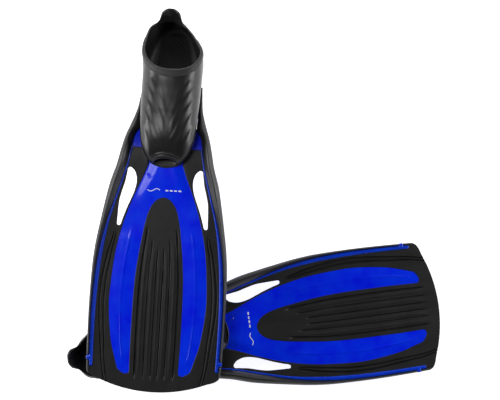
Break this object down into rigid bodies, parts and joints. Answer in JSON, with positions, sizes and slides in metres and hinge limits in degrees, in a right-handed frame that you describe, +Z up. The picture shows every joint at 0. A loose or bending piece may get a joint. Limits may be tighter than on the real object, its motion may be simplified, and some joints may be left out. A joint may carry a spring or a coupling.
{
  "type": "swim fins",
  "caption": "Full-foot, open-toe swim fins lying crossed, with blue blade plates, black side rails, vents and pull tabs.",
  "frame": {"origin": "under the middle of the crossed fins' box, on the surface they lie on", "axes": "+Z up; the upper fin points along -Y from heel to tip, the lower fin along +X"},
  "size_m": [0.6228, 0.6276, 0.1415],
  "materials": {
    "pocket": "glossy moulded rubber",
    "collar": "matte moulded rubber",
    "tab": "matte ribbed rubber",
    "sole": "matte grip rubber",
    "plate": "glossy blue plastic",
    "web": "satin black overmould",
    "rail": "satin black rubber",
    "channel": "matte soft rubber"
  },
  "bodies": {
    "under_fin_foot": {"under_fin_foot_pocket": "pocket", "under_fin_collar_band": "collar", "under_fin_outsole": "sole", "under_fin_sole_plate": "plate", "under_fin_wing_left": "web", "under_fin_wing_right": "web", "under_fin_rail_root_left": "rail", "under_fin_rail_root_right": "rail"},
    "under_fin_blade": {"under_fin_blade_plate": "plate", "under_fin_blade_web": "web", "under_fin_rail_left": "rail", "under_fin_rail_right": "rail", "under_fin_batten_left": "plate", "under_fin_batten_right": "plate", "under_fin_flex_channel_left": "channel", "under_fin_flex_channel_right": "channel"},
    "under_fin_tab": {"under_fin_heel_tab": "tab"},
    "top_fin_foot": {"top_fin_foot_pocket": "pocket", "top_fin_collar_band": "collar", "top_fin_outsole": "sole", "top_fin_sole_plate": "plate", "top_fin_wing_left": "web", "top_fin_wing_right": "web", "top_fin_rail_root_left": "rail", "top_fin_rail_root_right": "rail"},
    "top_fin_blade": {"top_fin_blade_plate": "plate", "top_fin_blade_web": "web", "top_fin_rail_left": "rail", "top_fin_rail_right": "rail", "top_fin_batten_left": "plate", "top_fin_batten_right": "plate", "top_fin_flex_channel_left": "channel", "top_fin_flex_channel_right": "channel"},
    "top_fin_tab": {"top_fin_heel_tab": "tab"}
  },
  "joints": [
    {"name": "top_fin_lift", "type": "slide", "parent": "under_fin_foot", "child": "top_fin_foot", "axis": [0, 0, 1], "range_m": [0, 0.25]},
    {"name": "top_fin_blade_flex", "type": "hinge", "parent": "top_fin_foot", "child": "top_fin_blade", "pos_m": [-0.14583, 0.05312, 0.12773], "axis": [-0.9982, 0.0593, 0], "range_deg": [0, 25], "stiffness_Nm_per_rad": 60, "springref_deg": -4.58},
    {"name": "under_fin_blade_flex", "type": "hinge", "parent": "under_fin_foot", "child": "under_fin_blade", "pos_m": [-0.04776, -0.21891, 0.08691], "axis": [0.1318, -0.9859, 0.103], "range_deg": [0, 25], "stiffness_Nm_per_rad": 60, "springref_deg": -4.58},
    {"name": "top_fin_tab_bend", "type": "hinge", "parent": "top_fin_foot", "child": "top_fin_tab", "pos_m": [-0.14147, 0.29569, 0.04079], "axis": [-0.9982, 0.0593, 0], "range_deg": [-30, 45], "stiffness_Nm_per_rad": 0.6},
    {"name": "under_fin_tab_bend", "type": "hinge", "parent": "under_fin_foot", "child": "under_fin_tab", "pos_m": [-0.29781, -0.26673, 0.04683], "axis": [0.1318, -0.9859, 0.103], "range_deg": [-30, 45], "stiffness_Nm_per_rad": 0.6}
  ]
}
